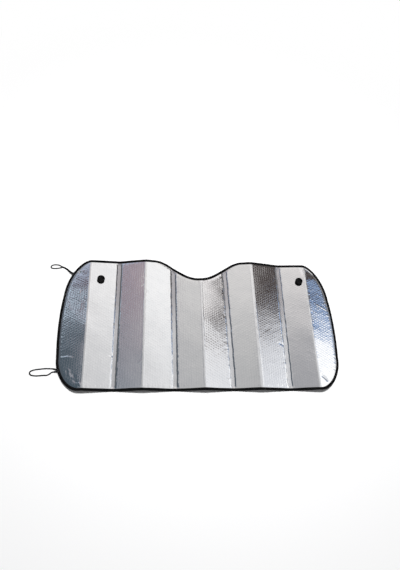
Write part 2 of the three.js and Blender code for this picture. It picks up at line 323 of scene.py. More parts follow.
def bubble_centres():
    """Bubbles stand in upright columns, every other column half a step higher."""
    columns = range(-int(HALF_WIDTH / BUBBLE_COLUMN) - 1, int(HALF_WIDTH / BUBBLE_COLUMN) + 2)
    rows = range(-int(HALF_HEIGHT / BUBBLE_PITCH) - 2, int(HALF_HEIGHT / BUBBLE_PITCH) + 3)
    return np.array([(i * BUBBLE_COLUMN, (j + i % 2 / 2) * BUBBLE_PITCH)
                     for i in columns for j in rows])


def bubble_dome(u, v):
    """About 1 at the crown of a bubble, 0 at its weld and between bubbles."""
    wide = 2 * BUBBLE_COLUMN
    slid = slide(u, v)
    u, v = u - slid[..., 0], v - slid[..., 1]
    best = np.full_like(u, np.inf)
    full = np.ones_like(u)
    for shift in (0, 1):
        du = (u + shift * BUBBLE_COLUMN + wide / 2) % wide - wide / 2
        dv = (v + shift * BUBBLE_PITCH / 2 + BUBBLE_PITCH / 2) % BUBBLE_PITCH - BUBBLE_PITCH / 2
        far = np.hypot(du, dv)
        chance = (43.7 * np.sin((u - du) * 9731.0 + (v - dv) * 5477.0)) % 1.0
        full = np.where(far < best, LEAST_FULL + CHANCE_FULL * chance, full)
        best = np.minimum(best, far)
    return full * (0.5 + 0.5 * np.cos(np.pi * np.clip(best / BUBBLE_RADIUS, 0, 1)))


def press(u, of_ridge):
    """1 in the pressed band of a ridge or a valley, 0 past its shoulders."""
    most = np.zeros_like(u)
    for crease, ridge, band in CREASES:
        if ridge == of_ridge:
            far = np.abs(u - crease) - band / 2
            shoulder = RIDGE_SHOULDER if ridge else VALLEY_SHOULDER
            most = np.maximum(most, 1 - step_up(far, 0, shoulder))
    return most


FOLD_BOW = 0.12  # how far a fold's line bows, as a share of its half length
# Folds in the film near the edge: middle, direction, half length, half width and height
FOLDS = [
    (0.587, 0.084, -0.41, 0.038, 0.0028, 0.00026),
    (0.600, 0.100, -0.90, 0.018, 0.0028, 0.00016),
    (0.556, -0.264, -0.75, 0.024, 0.0032, -0.0012),
    (0.583, -0.267, 0.75, 0.018, 0.0032, -0.0010),
    (-0.591, -0.168, 0.02, 0.030, 0.0034, 0.0006),
    (-0.568, 0.246, 0.33, 0.024, 0.0030, 0.0006),
    (-0.566, 0.242, 1.90, 0.013, 0.0028, -0.0005),
    (-0.558, 0.142, 1.30, 0.011, 0.0028, 0.0005),
]
# Bends past which the film lies lower: middle, direction, half length, half width and drop
BENDS = [
    (0.562, 0.236, 0.12, 0.034, 0.0026, 0.0006),
    (0.566, 0.254, 0.05, 0.045, 0.0100, 0.0015),
]
# Small wrinkles: how many, and the ranges of direction, half length, half width and height
BESIDE_RIDGE = 4
BESIDE_VALLEY = 26
BESIDE_CREASE_RANGES = ((-0.9, 0.9), (0.008, 0.022), (0.0025, 0.0045), (-0.0004, 0.0003))
ALL_OVER = 150
ALL_OVER_RANGES = ((0, math.pi), (0.015, 0.055), (0.006, 0.012), (-0.00013, 0.00013))
IN_CORNER = 12
IN_CORNER_RANGES = ((-1.1, -0.3), (0.007, 0.014), (0.0035, 0.0050), (-0.0005, 0.0005))
# The line that the corner's wrinkles follow, down to the right, and how far off it they lie
CORNER_START = (-0.590, -0.222)
CORNER_RUN = 0.064
CORNER_SCATTER = 0.007


def fold_points():
    """Points close enough together across each fold near the edge to show it."""
    found = []
    spacing = 0.004
    for u, v, angle, length, width, _ in FOLDS + BENDS:
        along = np.arange(-length, length, spacing)
        for across in np.array([-1.5, -0.75, 0, 0.75, 1.5]) * width:
            side = across - FOLD_BOW * along ** 2 / length
            found.append(np.stack([u + along * math.cos(angle) - side * math.sin(angle),
                                   v + along * math.sin(angle) + side * math.cos(angle)], axis=1))
    return np.concatenate(found)


def wrinkle_list():
    """Creases in the film: middle, direction, half length, half width and height."""
    draw = random.Random(7)
    wrinkles = list(FOLDS)

    def add(u, v, ranges):
        wrinkles.append((u, v) + tuple(draw.uniform(*span) for span in ranges))

    for crease, ridge, _ in CREASES:
        for _ in range(BESIDE_RIDGE if ridge else BESIDE_VALLEY):
            side = draw.choice((-1, 1))
            u = crease + side * draw.uniform(0.006, 0.016)
            v = draw.uniform(-HALF_HEIGHT + 0.02, HALF_HEIGHT - 0.02)
            add(u, v, BESIDE_CREASE_RANGES)
    for _ in range(ALL_OVER):
        u = draw.uniform(-HALF_WIDTH, HALF_WIDTH)
        v = draw.uniform(-HALF_HEIGHT, HALF_HEIGHT)
        add(u, v, ALL_OVER_RANGES)
    for _ in range(IN_CORNER):
        run = CORNER_RUN * draw.uniform(0, 1)
        u = CORNER_START[0] + run + draw.uniform(-CORNER_SCATTER, CORNER_SCATTER)
        v = CORNER_START[1] - run + draw.uniform(-CORNER_SCATTER, CORNER_SCATTER)
        add(u, v, IN_CORNER_RANGES)
    return wrinkles


WRINKLES = wrinkle_list()


def turned(u, v, angle):
    """A place's parts along and across a direction."""
    return u * math.cos(angle) + v * math.sin(angle), v * math.cos(angle) - u * math.sin(angle)


def wrinkled(u, v):
    """Height that the folds, wrinkles and bends add at flat points."""
    total = np.zeros_like(u)
    for cu, cv, angle, length, width, height in WRINKLES:
        near = np.nonzero((np.abs(u - cu) < length * 1.6) & (np.abs(v - cv) < length * 1.6))[0]
        along, across = turned(u[near] - cu, v[near] - cv, angle)
        across += FOLD_BOW * along ** 2 / length
        total[near] += height * np.exp(-(across / width) ** 2) * (
            1 - step_up(np.abs(along), 0.3 * length, 1.2 * length))
    for cu, cv, angle, length, width, drop in BENDS:
        along, across = turned(u - cu, v - cv, angle)
        total -= drop * step_up(across, -width, width) * (
            1 - step_up(np.abs(along), 0.7 * length, 1.4 * length))
    return total


def near_cup(u, v, radius, soft):
    """1 within a radius of a cup's middle, fading to 0 over a soft edge."""
    return 1 - step_up(cup_distance(u, v), radius, radius + soft)


PUCKER_HEIGHT = 0.00028
PUCKER_REACH = 0.010
# The film near what holds it: radius and fade of the part without bubbles at a cup's neck and of
# the part without wrinkles under a cup, and how far the tape and its seam pinch the film
NECK_CALM = (0.0075, 0.003)
CUP_CALM = (0.021, 0.01)
PINCH_UNDER_TAPE = 0.0006
PINCH_PAST_TAPE = 0.0085
HELD_HALF = RIM_THICK / 2 + 0.0001
LOOSE_PAST_TAPE = 0.004
BAND_STIFFNESS = 0.6  # share of the wrinkles that a pressed band takes away


def puckers(depth, place):
    """Gathers that the stitching pulls into the film beside the tape."""
    s = place * 2 * np.pi
    beat = np.sin(s / 0.0131 + 1.9 * np.sin(s / 0.087)) + 0.6 * np.sin(s / 0.0217 + 0.8)
    strength = 0.6 + 0.4 * np.sin(s / 0.31 + 1.1)
    fade = np.exp(-((depth - TAPE_WIDTH - 0.001) / PUCKER_REACH) ** 2)
    return PUCKER_HEIGHT * beat * strength * fade


def film_heights(u, v, depth, place, front):
    """Height of one face of the sheet over its middle plane."""
    half = THICK / 2
    side = 1.0 if front else -1.0
    even_u = even(u, v)
    banded = np.maximum(press(even_u, True), press(even_u, False))
    calm = np.maximum(banded, near_cup(u, v, *NECK_CALM))
    face = half - BUBBLE_HEIGHT * fullness(u, v) * (1 - bubble_dome(u, v)) * (1 - calm)
    crushed = press(even_u, not front)
    face = face * (1 - crushed) + (PRESSED - half) * crushed
    pinch = 1 - step_up(depth, TAPE_WIDTH - PINCH_UNDER_TAPE, TAPE_WIDTH + PINCH_PAST_TAPE)
    height = side * (face * (1 - pinch) + HELD_HALF * pinch)
    loose = step_up(depth, TAPE_WIDTH, TAPE_WIDTH + LOOSE_PAST_TAPE) * (1 - near_cup(u, v, *CUP_CALM))
    return height + loose * (wrinkled(u, v) * (1 - BAND_STIFFNESS * banded) + puckers(depth, place))


# Meshes

def new_object(name, points, faces):
    mesh = bpy.data.meshes.new(name)
    mesh.from_pydata([tuple(p) for p in points], [], [tuple(f) for f in faces])
    mesh.validate()
    mesh.polygons.foreach_set("use_smooth", [True] * len(mesh.polygons))
    mesh.update()
    piece = bpy.data.objects.new(name, mesh)
    bpy.context.scene.collection.objects.link(piece)
    return piece


CREASE_GAP = 0.0012  # least room between a bubble's points and a fold's


def crease_points(spacing):
    """Points along every fold, close enough together across it to turn it round."""
    found = []
    for crease, ridge, band in CREASES:
        half = band / 2
        v = np.arange(-HALF_HEIGHT, HALF_HEIGHT, spacing if ridge else 0.7 * spacing)
        across = [0, half - BEND_LENGTH / 2, half, half + BEND_LENGTH / 2]
        if ridge:
            across.append(half + RIDGE_SHOULDER)
        else:
            across += [half / 2, half + 0.55 * VALLEY_SHOULDER, half + VALLEY_SHOULDER]
        for offset in sorted(set(across) | set(-a for a in across)):
            even_u = crease + offset
            found.append(np.stack([even_u + stray(even_u, v), v], axis=1))
    return np.concatenate(found)


def clear_of_creases(points):
    """The points that lie outside the folds' bands and shoulders."""
    far = np.full(len(points), np.inf)
    even_u = even(points[:, 0], points[:, 1])
    for crease, ridge, band in CREASES:
        shoulder = RIDGE_SHOULDER if ridge else VALLEY_SHOULDER
        far = np.minimum(far, np.abs(even_u - crease) - band / 2 - shoulder)
    return points[far > CREASE_GAP]


def clear_of_points(points, others, gap):
    """The points that lie no nearer than a gap to any of the others."""
    near = np.array([(np.hypot(*(others - p).T) < gap).any() for p in points])
    return points[~near]


def clear_of_cups(points):
    """The points that leave room for the rings round the punched holes."""
    return points[cup_distance(points[:, 0], points[:, 1]) > NECK_HOLE + CUP_GAP]


def triangulated(loose, border, holes):
    """Triangles of the flat sheet: loose points, the border loop and the hole loops."""
    rings = [border] + holes
    points = np.vstack(rings + [loose])
    loops = []
    start = 0
    for ring in rings:
        loops.append(list(range(start, start + len(ring))))
        start += len(ring)
    edges = [(r[i], r[(i + 1) % len(r)]) for r in loops for i in range(len(r))]
    cut = geometry.delaunay_2d_cdt(
        [Vector(p) for p in points * 1000], edges, [loops[0]], 1, 1e-5)
    verts = np.array([tuple(p) for p in cut[0]]) / 1000
    faces = np.array([f for f in cut[2] if len(f) == 3])
    middles = verts[faces].mean(axis=1)
    keep = np.ones(len(faces), dtype=bool)
    for ring in holes:
        keep &= np.hypot(*(middles - ring.mean(axis=0)).T) > NECK_HOLE * 0.995
    origin = [ids[0] if ids else -1 for ids in cut[3]]
    back = {old: new for new, old in enumerate(origin) if old >= 0}
    return verts, faces[keep], [[back[i] for i in ring] for ring in loops]


# Where the sheet's mesh has its points
BORDER_INSET = 0.0008
RIM_INSETS = (0.0055, 0.0105, 0.0125, 0.0150, 0.0180)
RIM_SPACING = 0.0055
INNER_INSET = 0.0192
CUP_GAP = 0.0085
CUP_RING_STEPS = (0.8, 1.7)  # past the hole, in its radii
HOLE_SIDES = 24
FRONT_FOLD_SPACING = 0.0065
BACK_FOLD_SPACING = 0.010
SHARP_GAP = 0.0022
DOME_RING = 0.60  # radius of the ring of points on a bubble, in the bubble's radii


def spokes(radius, angles):
    return [radius * np.array([math.cos(a), math.sin(a)]) for a in angles]


def loose_points(front, cup_rims):
    """Flat points of one face: bubbles, folds near the edge, creases, rim and cups."""
    centres = bubble_centres()
    around = spokes(DOME_RING * BUBBLE_RADIUS, (np.arange(6) + 0.5) * math.pi / 3) if front else []
    offsets = around + spokes(BUBBLE_PITCH / math.sqrt(3), (0, math.pi / 3))
    lattice = np.concatenate([centres] + [centres + o for o in offsets])
    lattice = clear_of_creases(lattice + slide(lattice[:, 0], lattice[:, 1]))
    inner = inset(EDGE, INNER_INSET)
    lattice = clear_of_cups(lattice[inside(lattice, inner)])
    folds = crease_points(FRONT_FOLD_SPACING if front else BACK_FOLD_SPACING)
    folds = clear_of_cups(folds[inside(folds, inner)])
    rims = [even_loop(inset(EDGE, d), RIM_SPACING) for d in (RIM_INSETS if front else RIM_INSETS[1::2])]
    if front:
        sharp = fold_points()
        sharp = sharp[inside(sharp, inner)]
        lattice = clear_of_points(lattice, sharp, SHARP_GAP)
        lattice = np.vstack([lattice, clear_of_creases(sharp)])
    return np.vstack([lattice, folds] + rims + [cup_rims])


def build_sheet():
    """The film: two faces with their bubbles, folds and wrinkles, closed round the rim."""
    border = inset(EDGE, BORDER_INSET)
    turn = np.linspace(0, 2 * np.pi, HOLE_SIDES, endpoint=False)
    ring = NECK_HOLE * np.stack([np.cos(turn), np.sin(turn)], axis=1)
    holes = [ring + cup for cup in CUPS.values()]
    cup_rims = np.concatenate([hole + (hole - hole.mean(axis=0)) * k
                               for hole in holes for k in CUP_RING_STEPS])
    points = []
    faces = []
    flats = []
    bands = []
    valleys = []
    loops = []
    for front in (True, False):
        verts, tris, rings = triangulated(loose_points(front, cup_rims), border, holes)
        depth, place = edge_distance(verts)
        u, v = verts[:, 0], verts[:, 1]
        t = film_heights(u, v, depth, place, front)
        base = sum(len(p) for p in points)
        laid = folded(u, v, t)
        laid[:, 2] = np.maximum(laid[:, 2], 0)
        points.append(laid)
        tris = tris if front else tris[:, ::-1]
        faces += [tuple(int(i) + base for i in f) for f in tris]
        flats.append(verts)
        even_u = even(u, v)
        valleys.append(press(even_u, False))
        bands.append(np.maximum(press(even_u, True), valleys[-1]))
        loops.append([[i + base for i in r] for r in rings])
    for upper, lower in zip(*loops):
        for i in range(len(upper)):
            j = (i + 1) % len(upper)
            quad = (upper[i], lower[i], lower[j], upper[j])
            faces.append(quad if upper is loops[0][0] else quad[::-1])
    sheet = new_object("bubble_foil_sheet", np.concatenate(points), faces)
    flat = np.concatenate(flats)
    layer = sheet.data.uv_layers.new(name="flat")
    corner_ids = np.zeros(len(sheet.data.loops), dtype=np.int32)
    sheet.data.loops.foreach_get("vertex_index", corner_ids)
    unslid = flat - slide(flat[:, 0], flat[:, 1])
    layer.data.foreach_set("uv", (unslid[corner_ids] + FLAT_SHIFT).ravel())
    for name, values in (("band", bands), ("valley", valleys)):
        layer = sheet.data.attributes.new(name, "FLOAT", "POINT")
        layer.data.foreach_set("value", np.concatenate(values))
    return sheet


def tube_faces(first, count, size, closed=False):
    """Four-sided faces between rows of points, each row a closed section; with end caps if open."""
    faces = []
    for i in range(count if closed else count - 1):
        a, b = first + i * size, first + (i + 1) % count * size
        faces += [(a + k, a + (k + 1) % size, b + (k + 1) % size, b + k) for k in range(size)]
    if not closed:
        last = first + (count - 1) * size
        faces += [tuple(range(first, first + size))[::-1], tuple(range(last, last + size))]
    return faces


# Section of the tape: how far in from the cut edge, and height over the middle plane
TAPE_SECTION = [
    (11.0, 1.62), (10.4, 1.80), (9.2, 1.74), (8.3, 1.58), (7.4, 1.76), (4.4, 1.84), (1.2, 1.80),
    (-0.1, 1.55), (-0.8, 1.0), (-1.1, 0.0), (-0.8, -1.0), (-0.1, -1.55), (1.2, -1.80),
    (4.4, -1.80), (7.4, -1.74), (8.3, -1.58), (9.2, -1.72), (10.4, -1.76), (11.0, -1.60),
    (11.0, -1.05), (8.3, -0.98), (1.2, -0.98), (-0.1, -0.75), (-0.3, 0.0), (-0.1, 0.75),
    (1.2, 0.98), (8.3, 0.98), (11.0, 1.05),
]
OUTER_FACE = 1.2  # the section's points past this height are on its outer faces
TAPE_STEP = 0.003


def build_binding():
    """The tape, folded over the rim, with edges that sway and faces that swell a little."""
    loop = outline(TAPE_STEP)
    normal = inward(loop)
    count = len(loop)
    s = np.arange(count) * EDGE_LENGTH / count
    sway = 0.00028 * np.sin(s / 0.0171 + np.sin(s / 0.11)) + 0.0003 * np.sin(s / 0.083)
    plump = 1 + 0.05 * np.sin(s / 0.0061) + 0.05 * np.sin(s / 0.023 + 1.0)
    rows = []
    for depth, height in TAPE_SECTION:
        d = depth / 1000 + sway * (depth / 1000 / TAPE_WIDTH)
        t = height / 1000 * np.where(abs(height) > OUTER_FACE, plump, 1.0)
        flat = loop + normal * d[:, None]
        rows.append(folded(flat[:, 0], flat[:, 1], t))
    rows = np.stack(rows, axis=1)
    return new_object("binding_tape", rows.reshape(-1, 3), tube_faces(0, *rows.shape[:2], closed=True))


# A length of thread's stations: how far along it, and how thick there, as shares
BEAD_STATIONS = [(0.0, 0.25), (0.12, 0.85), (0.5, 1.0), (0.88, 0.85), (1.0, 0.25)]
BEAD_SIDES = 6


def beads(name, starts, ends, radius):
    """Short rounded lengths of thread between pairs of points."""
    points = []
    faces = []
    for a, b in zip(starts, ends):
        a = Vector(a)
        b = Vector(b)
        along = (b - a).normalized()
        out = along.orthogonal().normalized()
        across = along.cross(out)
        faces += tube_faces(len(points), len(BEAD_STATIONS), BEAD_SIDES)
        for share, girth in BEAD_STATIONS:
            for k in range(BEAD_SIDES):
                turn = 2 * math.pi * k / BEAD_SIDES
                spoke = out * math.cos(turn) + across * math.sin(turn)
                points.append(a.lerp(b, share) + spoke * radius * girth)
    return new_object(name, points, faces)


STITCH_INSET = 0.0083
STITCH_LENGTH = 0.0049
STITCH_SPAN = (0.08, 0.86)  # where the thread shows between one hole and the next
STITCH_HEIGHT = 0.00172
STITCH_RADIUS = 0.00026


def build_stitches():
    """One row of lock stitches along the tape, on both sides."""
    loop = even_loop(inset(outline(0.0008), STITCH_INSET), STITCH_LENGTH)
    following = np.roll(loop, -1, axis=0)
    rows = []
    for share in STITCH_SPAN:
        flat = loop * (1 - share) + following * share
        rows.append(np.concatenate([folded(flat[:, 0], flat[:, 1], np.full(len(loop), t))
                                    for t in (STITCH_HEIGHT, -STITCH_HEIGHT)]))
    return beads("binding_stitches", *rows, STITCH_RADIUS)


# Cup profile: radius and height over the front of the sheet, in millimetres
CUP_PROFILE = [
    (0.0, -9.8), (2.2, -9.75), (4.2, -9.2), (5.7, -8.1), (6.4, -6.7), (6.5, -5.9), (6.2, -4.9),
    (5.5, -4.35), (3.9, -4.3), (3.8, -4.0), (3.8, 0.3), (6.6, 0.3), (7.0, 0.5), (7.0, 1.6),
    (6.7, 1.9), (7.5, 2.05), (9.0, 2.4), (10.7, 3.2), (12.5, 4.5), (14.2, 6.1), (15.7, 7.9),
    (16.8, 9.3), (17.4, 9.85), (17.5, 10.1), (17.4, 10.35), (17.1, 10.4), (15.9, 10.4),
    (15.5, 10.2), (14.8, 9.45), (13.8, 8.4), (12.3, 7.15), (10.6, 6.2), (8.8, 5.5), (6.8, 5.05),
    (4.8, 4.8), (3.4, 4.7), (3.2, 4.95), (2.6, 5.15), (1.4, 5.25), (0.0, 5.3),
]


def build_cup(name, side):
    """A cup turned round its middle and set square on its pleat."""
    segments = 96
    turned = []
    for r, h in CUP_PROFILE:
        for k in range(segments):
            a = 2 * math.pi * k / segments
            turned.append((r * math.cos(a) / 1000, r * math.sin(a) / 1000, h / 1000))
    faces = []
    for i in range(len(CUP_PROFILE) - 1):
        for k in range(segments):
            m = (k + 1) % segments
            a, b = i * segments, (i + 1) * segments
            if i == 0:
                faces.append((a, b + m, b + k))
            elif i == len(CUP_PROFILE) - 2:
                faces.append((a + k, a + m, b))
            else:
                faces.append((a + k, a + m, b + m, b + k))
    cup_u, cup_v = CUPS[side]
    seat = folded([cup_u], [cup_v], [THICK / 2])[0]
    place = Matrix.Translation(seat) @ Matrix.Rotation(-side * SLOPE, 4, "Y")
    kept = sorted(set(i for f in faces for i in f))
    renumber = {old: new for new, old in enumerate(kept)}
    points = [place @ Vector(turned[i]) for i in kept]
    return new_object(name, points, [tuple(renumber[i] for i in f) for f in faces])


# Elastic loops: the routes are offsets from the seam in millimetres, with the height over the
# floor, or none where the band lies on the tape
UPPER_ROUTE = [
    (0.6, 1), (-6.4, 5.5), (-13.3, 9.9, 8.8), (-19.4, 14.6, 5.8), (-25.7, 20.7, 2.9),
    (-32.2, 26.9, 1.1), (-40.4, 33.3, 0.6), (-49.5, 38.4, 0.6), (-57, 41.3, 0.6),
    (-62.3, 43.6, 0.6), (-67, 46.2, 0.6), (-73, 49.4, 0.6), (-80.5, 51.7, 0.6),
    (-89.5, 52.4, 0.6), (-98.5, 51.6, 0.6), (-105.8, 48.8, 0.6), (-110.6, 43.6, 0.6),
    (-110.4, 37.8, 0.6), (-105.4, 33.8, 0.6), (-96.5, 32.4, 0.6), (-87, 32.8, 0.6),
    (-78, 34, 0.6), (-71.5, 35.2, 0.9), (-66.5, 36.6, 1.9), (-62.2, 37.9, 2.1),
    (-58, 39.1, 2.1), (-50.5, 36.4, 2.1), (-41.6, 31.5, 2.1), (-33.8, 25.1, 2.6),
    (-27.3, 19.1, 4.4), (-21, 12.8, 7.3), (-14.7, 8.1, 10.3), (-7.6, 3.5), (-0.6, -1),
]
LOWER_ROUTE = [
    (0, 3.7), (-10, 5.6), (-18.5, 8.4, 3.8), (-27, 9.8, 1), (-37, 10.5, 0.6), (-50, 10.8, 0.6),
    (-64, 9.9, 0.6), (-80, 8.4, 0.6), (-95, 6.4, 0.6), (-108, 3, 0.6), (-117.5, -2.6, 0.6),
    (-119.5, -10, 0.6), (-114, -16.6, 0.6), (-103, -19.8, 0.6), (-90, -20.4, 0.6),
    (-75, -19.6, 0.6), (-60, -18.4, 0.6), (-49.7, -18.2, 0.6), (-43, -16.4, 0.6),
    (-37.2, -12.8, 0.6), (-32, -8.4, 0.6), (-26, -4.9, 1), (-18, -3.7, 3.8), (-9.5, -3.7),
    (0, -3.7),
]


def seam_point(v):
    """Where a loop is sewn on: in the middle of the tape, on the left side."""
    loop = inset(outline(0.001), TAPE_WIDTH / 2)
    left = loop[loop[:, 0] < -OUTER_RIDGE]
    u = left[np.abs(left[:, 1] - v).argmin()][0]
    return folded([u], [v], [0.0])[0][0]


def tape_front(x):
    """Height of the tape's front near the left edge."""
    edge = folded([-HALF_WIDTH], [0.0], [TAPE_HALF])[0]
    return edge[2] + (x - edge[0]) * math.tan(SLOPE)


def route_points(seam_v, route):
    """Stops of a loop; the upper loop's second end is sewn down on its first."""
    seam_x = seam_point(seam_v)
    stacked = route is UPPER_ROUTE
    points = []
    for i, stop in enumerate(route):
        x = seam_x + stop[0] / 1000
        layer = 1 if stacked and i >= len(route) / 2 else 0
        on_tape = SEAT_GAP + STRAP_THICK / 2 + layer * (STRAP_THICK + SEAT_GAP)
        z = stop[2] / 1000 if len(stop) == 3 else tape_front(x) + on_tape
        points.append(np.array([x, seam_v + stop[1] / 1000, z]))
    return points


def smooth_path(points, step):
    """A centripetal Catmull-Rom curve through the points, at an even step."""
    p = [2 * points[0] - points[1]] + points + [2 * points[-1] - points[-2]]
    found = []
    for i in range(1, len(p) - 2):
        knots = [0.0]
        for a, b in zip(p[i - 1:i + 2], p[i:i + 3]):
            knots.append(knots[-1] + math.sqrt(np.linalg.norm(b - a)))
        for t in np.linspace(knots[1], knots[2], 24, endpoint=False):
            row = p[i - 1:i + 3]
            for low, high in ((0, 1), (0, 2), (1, 2)):
                row = [((knots[k + high] - t) * row[k] + (t - knots[k + low]) * row[k + 1])
                       / (knots[k + high] - knots[k + low]) for k in range(len(row) - 1)]
            found.append(row[0])
    found.append(points[-1])
    found = np.array(found)
    along = np.concatenate([[0], np.cumsum(np.linalg.norm(np.diff(found, axis=0), axis=1))])
    s = np.linspace(0, along[-1], int(along[-1] / step) + 1)
    return np.stack([np.interp(s, along, found[:, k]) for k in range(3)], axis=1), along[-1]


STRAP_STEP = 0.0009
STRAP_RIBS = 6
STRAP_HALF = 0.00026
RIB_HEIGHT = 0.00016
PICK_HEIGHT = 0.00006
PICK_PITCH = 0.0018
LEAN_REACH = 0.025  # how far from its seam a loop still leans with the pleat


def build_strap(name, seam_v, route):
    """A flat braided elastic: ribs along it, and picks that cross them."""
    path, length = smooth_path(route_points(seam_v, route), STRAP_STEP)
    size = 2 * STRAP_RIBS  # points on each face of a section
    points = []
    for i, middle in enumerate(path):
        before = path[max(i - 1, 0)]
        after = path[min(i + 1, len(path) - 1)]
        tangent = Vector(after - before).normalized()
        along = i / (len(path) - 1) * length
        lean = max(0.0, 1 - min(along, length - along) / LEAN_REACH) * SLOPE
        up = Vector((-math.sin(lean), 0, math.cos(lean)))
        across = tangent.cross(up).normalized()
        up = across.cross(tangent)
        spread = STRAP_WIDTH * (1 + 0.012 * math.sin(along / 0.0021))
        for k in range(2 * size):
            top = k < size
            share = (k % size) / (size - 1)
            offset = (share - 0.5) if top else (0.5 - share)
            edge = 1 - abs(2 * offset) ** 6
            rib = abs(math.sin(math.pi * STRAP_RIBS * (offset + 0.5)))
            pick = 0.5 + 0.5 * math.sin(2 * math.pi * (along / PICK_PITCH + 1.3 * abs(offset) * 2))
            lift = (STRAP_HALF + RIB_HEIGHT * rib + PICK_HEIGHT * pick) * (0.35 + 0.65 * edge)
            points.append(Vector(middle) + across * offset * spread + up * (lift if top else -lift))
    return new_object(name, points, tube_faces(0, len(path), 2 * size)), path, length


TACK_BARS = 7
TACK_START = 0.0007
TACK_SPACING = 0.0006
TACK_SLANT = 0.0003
TACK_REACH = 0.0026
TACK_LIFT = STRAP_THICK / 2 + 0.00004
TACK_RADIUS = 0.00022


def build_tacks():
    """Bars of thread that hold the ends of the loops to the tape."""
    starts = []
    ends = []
    for seam_v, route in ((UPPER_SEAM_V, UPPER_ROUTE), (LOWER_SEAM_V, LOWER_ROUTE)):
        points = route_points(seam_v, route)
        for first, second in ((points[0], points[1]), (points[-1], points[-2])):
            along = Vector(second - first).normalized()
            normal = Vector((-math.sin(SLOPE), 0, math.cos(SLOPE)))
            across = along.cross(normal).normalized()
            for k in range(TACK_BARS):
                middle = Vector(first) + along * (TACK_START + TACK_SPACING * k)
                slant = along * (TACK_SLANT if k % 2 else -TACK_SLANT)
                lift = normal * TACK_LIFT
                starts.append(middle + lift - slant - across * TACK_REACH)
                ends.append(middle + lift + slant + across * TACK_REACH)
    return beads("loop_bar_tacks", starts, ends, TACK_RADIUS)


# Materials

class Graph:
    """Adds nodes to one node tree and links them by their outputs."""

    def __init__(self, tree):
        self.tree = tree
        tree.nodes.clear()

    def add(self, kind, settings=None, **inputs):
        made = self.tree.nodes.new(kind)
        for key, value in (settings or {}).items():
            setattr(made, key, value)
        self.fill(made, **inputs)
        return made

    def fill(self, node, **inputs):
        """Set or link inputs by name, with an underscore for each space."""
        for key, value in inputs.items():
            self.put(node.inputs[key.replace("_", " ")], value)

    def put(self, socket, value):
        if isinstance(value, bpy.types.NodeSocket):
            self.tree.links.new(value, socket)
        else:
            socket.default_value = value

    def math(self, operation, *values):
        made = self.add("ShaderNodeMath", {"operation": operation})
        for socket, value in zip(made.inputs, values):
            self.put(socket, value)
        return made.outputs[0]

    def times(self, first, second):
        return self.math("MULTIPLY", first, second)

    def vector(self, operation, *values):
        """A vector node; its output is a length where the operation gives one."""
        made = self.add("ShaderNodeVectorMath", {"operation": operation})
        for socket, value in zip(made.inputs, values):
            self.put(socket, value)
        return made.outputs["Value" if operation == "LENGTH" else "Vector"]

    def ramp(self, value, low, high, first=0.0, last=1.0):
        """A smooth step from first to last as the value goes from low to high."""
        made = self.add("ShaderNodeMapRange", {"interpolation_type": "SMOOTHSTEP"},
                        Value=value, From_Min=low, From_Max=high, To_Min=first, To_Max=last)
        return made.outputs["Result"]

    def window(self, value, low, high, soft):
        """1 between two values, fading to 0 over a soft edge past each."""
        rise = self.ramp(value, low - soft, low)
        return self.times(rise, self.ramp(value, high, high + soft, 1.0, 0.0))

    def colours(self, value, stops):
        """A colour ramp from pairs of position and colour, or position and grey."""
        made = self.add("ShaderNodeValToRGB", Fac=value)
        marks = made.color_ramp.elements
        marks.remove(marks[0])
        for i, (position, colour) in enumerate(stops):
            mark = marks[0] if i == 0 else marks.new(position)
            mark.position = position
            mark.color = (*colour, 1) if isinstance(colour, tuple) else (colour, colour, colour, 1)
        return made.outputs["Color"]

    def mix(self, share, first, last):
        made = self.add("ShaderNodeMix", {"data_type": "RGBA"})
        self.put(made.inputs["Factor"], share)
        self.put(made.inputs[6], first)
        self.put(made.inputs[7], last)
        return made.outputs[2]

    def noise(self, where, scale, detail=2.0, roughness=0.5, distortion=0.0):
        made = self.add("ShaderNodeTexNoise", Vector=where, Scale=scale, Detail=detail,
                        Roughness=roughness, Distortion=distortion)
        return made.outputs["Fac"]

    def bump(self, height, distance, strength=1.0, normal=None):
        made = self.add("ShaderNodeBump", Height=height, Distance=distance, Strength=strength)
        if normal:
            self.put(made.inputs["Normal"], normal)
        return made.outputs["Normal"]

    def choose(self, share, first, last):
        """Mix two shaders and return the mixed one."""
        made = self.add("ShaderNodeMixShader")
        for socket, value in zip(made.inputs, (share, first, last)):
            self.put(socket, value)
        return made.outputs[0]


def new_material(name):
    material = bpy.data.materials.new(name)
    material.use_nodes = True
    graph = Graph(material.node_tree)
    shader = graph.add("ShaderNodeBsdfPrincipled")
    output = graph.add("ShaderNodeOutputMaterial")
    graph.tree.links.new(shader.outputs[0], output.inputs["Surface"])
    return material, graph, shader


def dress(piece, material):
    piece.data.materials.clear()
    piece.data.materials.append(material)


WELD_RADIUS = BUBBLE_RADIUS * 0.94
WELD_WIDTH = 0.0009


def bubble_ring(graph, flat):
    """1 on the weld round each bubble, from the same lattice as the mesh."""
    cell = (BUBBLE_COLUMN, BUBBLE_PITCH / 2, 1)
    fars = []
    for shift in (0, 1):
        back = (shift * BUBBLE_COLUMN - FLAT_SHIFT, shift * BUBBLE_PITCH / 2 - FLAT_SHIFT, 0)
        wrapped = graph.vector("WRAP", graph.vector("ADD", flat, back), cell, [-c for c in cell])
        fars.append(graph.vector("LENGTH", wrapped))
    off = graph.math("ABSOLUTE", graph.math("SUBTRACT", graph.math("MINIMUM", *fars), WELD_RADIUS))
    return graph.ramp(off, 0.0, WELD_WIDTH, 1.0, 0.0)


